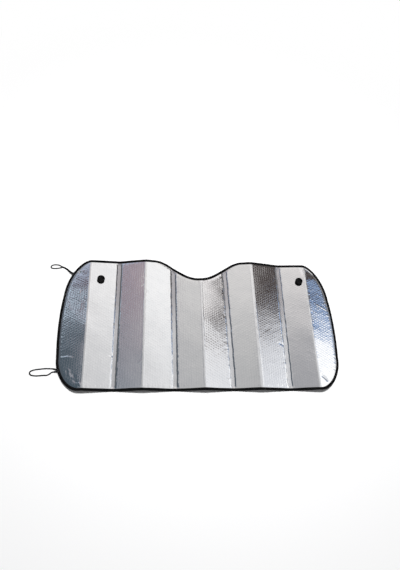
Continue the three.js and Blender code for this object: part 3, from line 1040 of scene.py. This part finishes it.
# The film's colour where it is clean, rubbed and welded, and the painted shade in the upper half of a
# valley
FILM_CLEAN = (0.885, 0.888, 0.893, 1)
FILM_RUBBED = (0.86, 0.865, 0.872, 1)
FILM_WELDED = (0.78, 0.79, 0.80, 1)
FILM_PAINTED_SHADE = (0.40, 0.385, 0.41, 1)
PAINTED_SHADE_FROM = -0.08
PAINTED_SHADE_TO = 0.15
CRINKLE_HEIGHT = 0.00002
WELD_DEPTH = 0.00003
STRIPE_HEIGHT = 0.00012


def foil_material():
    """Mirror film with welds round its bubbles, pressed stripes in its bands and painted shade in its
    valleys.
    """
    material, graph, shader = new_material("aluminised_film")
    flat = graph.add("ShaderNodeUVMap", {"uv_map": "flat"}).outputs[0]
    band, valley = (graph.add("ShaderNodeAttribute", {"attribute_name": name}).outputs["Fac"]
                    for name in ("band", "valley"))
    ring = graph.times(bubble_ring(graph, flat), graph.math("SUBTRACT", 1.0, band))
    rub = graph.ramp(graph.noise(flat, 26.0, 3.0), 0.42, 0.62)
    colour = graph.mix(rub, FILM_CLEAN, FILM_RUBBED)
    colour = graph.mix(graph.times(ring, 0.10), colour, FILM_WELDED)
    # Painted shade: the colour darkens to a violet grey in the upper half of each valley band
    place_v = graph.add("ShaderNodeSeparateXYZ", Vector=flat).outputs["Y"]
    upper = graph.ramp(place_v, FLAT_SHIFT + PAINTED_SHADE_FROM, FLAT_SHIFT + PAINTED_SHADE_TO, 0.1, 0.75)
    colour = graph.mix(graph.times(valley, upper), colour, FILM_PAINTED_SHADE)
    haze = graph.ramp(graph.noise(flat, 34.0, 3.0), 0.3, 0.7, 0.06, 0.09)
    rough = graph.math("ADD", haze, graph.times(band, 0.06))
    crinkle = graph.bump(graph.noise(flat, 240.0, 3.0, 0.5, 0.6), CRINKLE_HEIGHT)
    welds = graph.bump(graph.times(ring, -1.0), WELD_DEPTH, 1.0, crinkle)
    stripes = graph.add("ShaderNodeTexWave", {"bands_direction": "X"}, Vector=flat, Scale=110.0,
                        Distortion=2.0, Detail=2.0).outputs["Fac"]
    pressed = graph.bump(graph.times(stripes, band), STRIPE_HEIGHT, 1.0, welds)
    graph.fill(shader, Base_Color=colour, Metallic=1.0, Roughness=rough, Normal=pressed)
    return material


# Colours of the textiles: the gaps and the threads, and lint
TAPE_DARK = (0.002, 0.002, 0.0022, 1)
TAPE_LIGHT = (0.007, 0.007, 0.0077, 1)
BRAID_DARK = (0.003, 0.003, 0.0033, 1)
BRAID_LIGHT = (0.012, 0.012, 0.013, 1)
LINT = (0.06, 0.06, 0.063, 1)


def woven_material(name, dark, light, fineness, sheen):
    """Matt black textile with crossing threads."""
    material, graph, shader = new_material(name)
    place = graph.add("ShaderNodeTexCoord").outputs["Object"]
    slant = graph.add("ShaderNodeMapping", Vector=place, Rotation=(0.4, 0.3, 0.785)).outputs[0]
    weave = graph.times(*(
        graph.add("ShaderNodeTexWave", {"bands_direction": axis}, Vector=slant, Scale=fineness,
                  Distortion=0.6, Detail=1.0).outputs["Fac"] for axis in "XY"))
    lint = graph.ramp(graph.noise(place, 900.0, 3.0), 0.62, 0.75)
    fade = graph.noise(place, 22.0, 3.0)
    colour = graph.mix(weave, dark, light)
    colour = graph.mix(graph.times(lint, 0.2), colour, LINT)
    colour = graph.mix(graph.ramp(fade, 0.4, 0.8, 0.0, 0.5), colour, light)
    rough = graph.ramp(weave, 0.0, 1.0, 0.88, 0.66)
    graph.fill(shader, Base_Color=colour, Roughness=rough, Specular_IOR_Level=0.08,
               Sheen_Weight=sheen, Sheen_Roughness=0.4, Normal=graph.bump(weave, 0.0002, 0.8))
    return material


def cup_material():
    """Soft glossy plastic with a little dust and uneven gloss."""
    material, graph, shader = new_material("black_soft_plastic")
    place = graph.add("ShaderNodeTexCoord").outputs["Object"]
    dust = graph.ramp(graph.noise(place, 140.0, 4.0, 0.6), 0.55, 0.8, 0.0, 0.25)
    smear = graph.noise(place, 45.0, 2.0, 0.5, 1.5)
    colour = graph.mix(dust, (0.0015, 0.0015, 0.0017, 1), (0.008, 0.008, 0.0085, 1))
    rough = graph.ramp(smear, 0.3, 0.7, 0.16, 0.30)
    graph.fill(shader, Base_Color=colour, Roughness=rough, Specular_IOR_Level=0.16,
               Normal=graph.bump(smear, 0.0002, 0.35))
    return material


def thread_material():
    """Thread with its plies."""
    material, graph, shader = new_material("black_thread")
    place = graph.add("ShaderNodeTexCoord").outputs["Object"]
    ply = graph.add("ShaderNodeTexWave", {"bands_direction": "DIAGONAL"}, Vector=place,
                    Scale=1400.0).outputs["Fac"]
    colour = graph.mix(ply, (0.010, 0.010, 0.011, 1), (0.045, 0.045, 0.047, 1))
    graph.fill(shader, Base_Color=colour, Roughness=0.55, Sheen_Weight=0.3,
               Normal=graph.bump(ply, 0.0001, 0.6))
    return material


# Pieces

def add_piece(piece, material, node=None):
    """Dress a piece, let it ride on the only body and hide the node it stands in for."""
    dress(piece, material)
    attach(piece, "root")
    if node:
        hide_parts(node)
    return piece


foil = foil_material()
tape = woven_material("binding_weave", TAPE_DARK, TAPE_LIGHT, 700.0, 0.02)
braid = woven_material("elastic_braid", BRAID_DARK, BRAID_LIGHT, 900.0, 0.03)
plastic = cup_material()
thread = thread_material()

sheet = add_piece(build_sheet(), foil, "bubble_foil_panel")
binding = add_piece(build_binding(), tape, "edge_binding")
stitches = add_piece(build_stitches(), thread)
for name, node, side in (("cup_left", "suction_cup_left", -1), ("cup_right", "suction_cup_right", 1)):
    add_piece(build_cup(name, side), plastic, node)

for name, node, seam_v, route in (
        ("loop_upper", "elastic_strap_upper", UPPER_SEAM_V, UPPER_ROUTE),
        ("loop_lower", "elastic_strap_lower", LOWER_SEAM_V, LOWER_ROUTE)):
    strap, path, length = build_strap(name, seam_v, route)
    add_piece(strap, braid, node)
    route_line = [tuple(p) for p in path[::4]] + [tuple(path[-1])]
    tuple(path[0])

add_piece(build_tacks(), thread)


# Floor, light and camera

FLOOR_HALF = 12.0
WHITE_FROM = 0.9  # where the floor starts to turn plain white, and where it is
WHITE_TO = 2.2
FLOOR_GLOW = 0.02  # share of plain white in what the camera sees of the floor under the part


def build_floor():
    """A pale floor that keeps the shadow; the camera sees it turn plain white further out."""
    h = FLOOR_HALF
    floor = new_object("floor", [(-h, -h, 0), (h, -h, 0), (h, h, 0), (-h, h, 0)], [(0, 1, 2, 3)])
    material = bpy.data.materials.new("pale_floor")
    material.use_nodes = True
    graph = Graph(material.node_tree)
    seen = graph.add("ShaderNodeLightPath").outputs["Is Camera Ray"]
    far = graph.vector("LENGTH", graph.add("ShaderNodeTexCoord").outputs["Object"])
    plain = graph.add("ShaderNodeBsdfDiffuse", Color=(0.86, 0.86, 0.87, 1)).outputs[0]
    lit = graph.add("ShaderNodeBsdfDiffuse", Color=(0.95, 0.95, 0.95, 1)).outputs[0]
    glow = graph.add("ShaderNodeEmission", Color=(1, 1, 1, 1), Strength=1.0).outputs[0]
    white = graph.choose(graph.ramp(far, WHITE_FROM, WHITE_TO, FLOOR_GLOW, 1.0), lit, glow)
    graph.add("ShaderNodeOutputMaterial", Surface=graph.choose(seen, plain, white))
    dress(floor, material)


# Tones of the studio's ceiling by the angle from the vertical, from left to right: the near
# ceiling, and the ceiling further back. A single number is a grey
NEAR_CEILING = [
    (-75, (0.30, 0.31, 0.34)), (-60, (0.10, 0.11, 0.13)), (-25.7, (0.070, 0.100, 0.125)),
    (-24.9, (0.31, 0.33, 0.37)), (-18.7, (0.34, 0.35, 0.38)), (-17.7, (0.51, 0.51, 0.52)),
    (-5, 0.50), (-3, (0.38, 0.38, 0.40)), (3, (0.38, 0.38, 0.40)), (9, (0.66, 0.66, 0.67)),
    (16, (0.70, 0.70, 0.71)), (19, (0.80, 0.80, 0.81)), (27, (0.90, 0.91, 0.93)),
    (33, (0.78, 0.80, 0.85)), (37, (0.78, 0.80, 0.85)), (38, 1.25), (66, 1.10),
    (80, (0.50, 0.50, 0.52)),
]
FAR_CEILING = [
    (-75, (0.40, 0.42, 0.46)), (-60, (0.12, 0.13, 0.15)), (-25.7, (0.11, 0.13, 0.16)),
    (-24.9, (0.36, 0.29, 0.33)), (-18.7, (0.38, 0.31, 0.35)), (-17.7, (0.70, 0.69, 0.68)),
    (-5, (0.78, 0.76, 0.75)), (3, (0.84, 0.80, 0.79)), (13, (0.97, 0.96, 0.96)), (21, 1.05),
    (28, (0.92, 0.88, 0.87)), (33, (0.50, 0.50, 0.52)), (37, (0.50, 0.50, 0.52)), (38, 1.25),
    (66, (1.10, 1.10, 1.12)), (80, (0.50, 0.50, 0.52)),
]
NEAR_TO_FAR = (14.0, 30.0)  # angles back from the vertical between which one turns to the other
# Tones round the horizon by compass angle, in turns, and the heights between which they end
HORIZON = [
    (0.00, 0.95), (0.07, 0.90), (0.09, 0.16), (0.14, 0.20), (0.195, 0.42), (0.22, 0.90),
    (0.27, 0.85), (0.30, 0.30), (0.36, 0.22), (0.39, 1.00), (0.50, 0.95), (0.53, 0.25),
    (0.58, 0.30), (0.61, 0.80), (0.72, 0.85), (0.75, 0.14), (0.85, 0.13), (0.88, 0.80), (1.00, 0.95),
]
HORIZON_TOP = (0.48, 0.62)
DOOR = (0.075, 0.062, 0.060, 1)
DOOR_SKY = (0.26, 0.39, 0.64, 1)
LINTEL = (0.44, 0.50, 0.63, 1)
WINDOW = (0.60, 0.72, 0.84, 1)
CURTAIN = (0.060, 0.034, 0.044, 1)
STUDIO_LIGHT = 0.3  # the studio's strength for what isn't a mirror


def ceiling_ramp(graph, side, stops):
    share = graph.math("DIVIDE", graph.math("ADD", side, 90.0), 180.0)
    return graph.colours(share, [((angle + 90) / 180, tone) for angle, tone in stops])


def build_world():
    """A studio that the film mirrors; camera rays see plain white in its place."""
    world = bpy.data.worlds.new("studio")
    bpy.context.scene.world = world
    world.use_nodes = True
    graph = Graph(world.node_tree)
    where = graph.add("ShaderNodeTexCoord").outputs["Generated"]
    x, y, z = graph.add("ShaderNodeSeparateXYZ", Vector=where).outputs
    side = graph.math("DEGREES", graph.math("ARCTAN2", x, z))
    back = graph.math("DEGREES", graph.math("ARCTAN2", y, z))
    near, far = (ceiling_ramp(graph, side, stops) for stops in (NEAR_CEILING, FAR_CEILING))
    tone = graph.mix(graph.ramp(back, *NEAR_TO_FAR), near, far)

    # A doorway in the right corner, its left jamb, and the blue sky in its near end. All are
    # angles in degrees from the vertical, to the right and to the back
    further = graph.math("SUBTRACT", back, graph.ramp(side, 36.0, 40.0, 0.0, 6.3))
    door = graph.times(graph.ramp(side, 29.8, 30.8), graph.ramp(further, 24.6, 25.9))
    jamb = graph.times(graph.window(back, 22.8, 26.2, 0.6), graph.ramp(side, 25.0, 29.0))
    jamb = graph.times(jamb, graph.ramp(side, 30.0, 32.0, 0.80, 0.0))
    sky = graph.times(graph.ramp(side, 37.0, 39.5), graph.ramp(back, 24.2, 25.6))
    tone = graph.mix(sky, tone, DOOR_SKY)
    tone = graph.mix(graph.math("MAXIMUM", door, jamb), tone, DOOR)

    # A blue window over the dark wall on the left, its lintel, and a brown curtain beside it
    wall = graph.window(side, -37.0, -25.5, 0.8)
    window = graph.times(wall, graph.window(back, 25.6, 28.6, 0.4))
    lintel = graph.times(wall, graph.ramp(back, 28.6, 29.8))
    curtain = graph.times(graph.window(side, -29.9, -24.9, 0.5), graph.window(back, 27.4, 30.1, 0.4))
    for share, colour in ((lintel, LINTEL), (window, WINDOW), (curtain, CURTAIN)):
        tone = graph.mix(share, tone, colour)

    # Bright and dark walls round the horizon
    turn = graph.math("DIVIDE", graph.math("ARCTAN2", x, y), 2 * math.pi)
    walls = graph.colours(graph.math("FRACT", graph.math("ADD", turn, 1.0)), HORIZON)
    tone = graph.mix(graph.ramp(z, *HORIZON_TOP), walls, tone)

    mirrored = graph.add("ShaderNodeLightPath").outputs["Is Glossy Ray"]
    strength = graph.math("ADD", graph.times(mirrored, 1 - STUDIO_LIGHT), STUDIO_LIGHT)
    studio = graph.add("ShaderNodeBackground", Color=tone, Strength=strength).outputs[0]
    white = graph.add("ShaderNodeBackground", Color=(1, 1, 1, 1), Strength=1.0).outputs[0]
    seen = graph.add("ShaderNodeLightPath").outputs["Is Camera Ray"]
    graph.add("ShaderNodeOutputWorld", Surface=graph.choose(seen, studio, white))


LAMP_PLACE = (0.15, 0.8, 3.7)
LAMP_SIZE = 0.7
LAMP_POWER = 158


def build_lamp():
    """A soft lamp above and behind; the film mirrors the studio and not the lamp."""
    light = bpy.data.lights.new("soft_lamp", "AREA")
    light.energy = LAMP_POWER
    light.size = LAMP_SIZE
    lamp = bpy.data.objects.new("soft_lamp", light)
    bpy.context.scene.collection.objects.link(lamp)
    lamp.location = LAMP_PLACE
    lamp.rotation_euler = (-lamp.location).to_track_quat("-Z", "Y").to_euler()
    lamp.visible_glossy = False


FOCAL_PIXELS = 472.8
FRAME_PIXELS = 570  # height of the photograph
CAMERA_PLACE = (-0.234, -0.798, 2.015)
CAMERA_TURN = -13.51  # degrees round the vertical, then the tilt, then the roll
CAMERA_TILT = 26.88
CAMERA_ROLL = 13.20


def build_camera():
    """The photograph's view, from in front, high up and a little to the left."""
    camera = bpy.data.cameras.new("camera")
    camera.sensor_fit = "VERTICAL"
    camera.sensor_height = 36
    camera.lens = FOCAL_PIXELS * camera.sensor_height / FRAME_PIXELS
    camera.clip_start = 0.05
    holder = bpy.data.objects.new("camera", camera)
    bpy.context.scene.collection.objects.link(holder)
    turn = (Matrix.Rotation(math.radians(CAMERA_TURN), 4, "Z")
            @ Matrix.Rotation(math.radians(CAMERA_TILT), 4, "X")
            @ Matrix.Rotation(math.radians(CAMERA_ROLL), 4, "Z"))
    holder.matrix_world = Matrix.Translation(CAMERA_PLACE) @ turn
    bpy.context.scene.camera = holder


build_floor()
build_world()
build_lamp()
build_camera()
bpy.context.scene.view_settings.view_transform = "Standard"
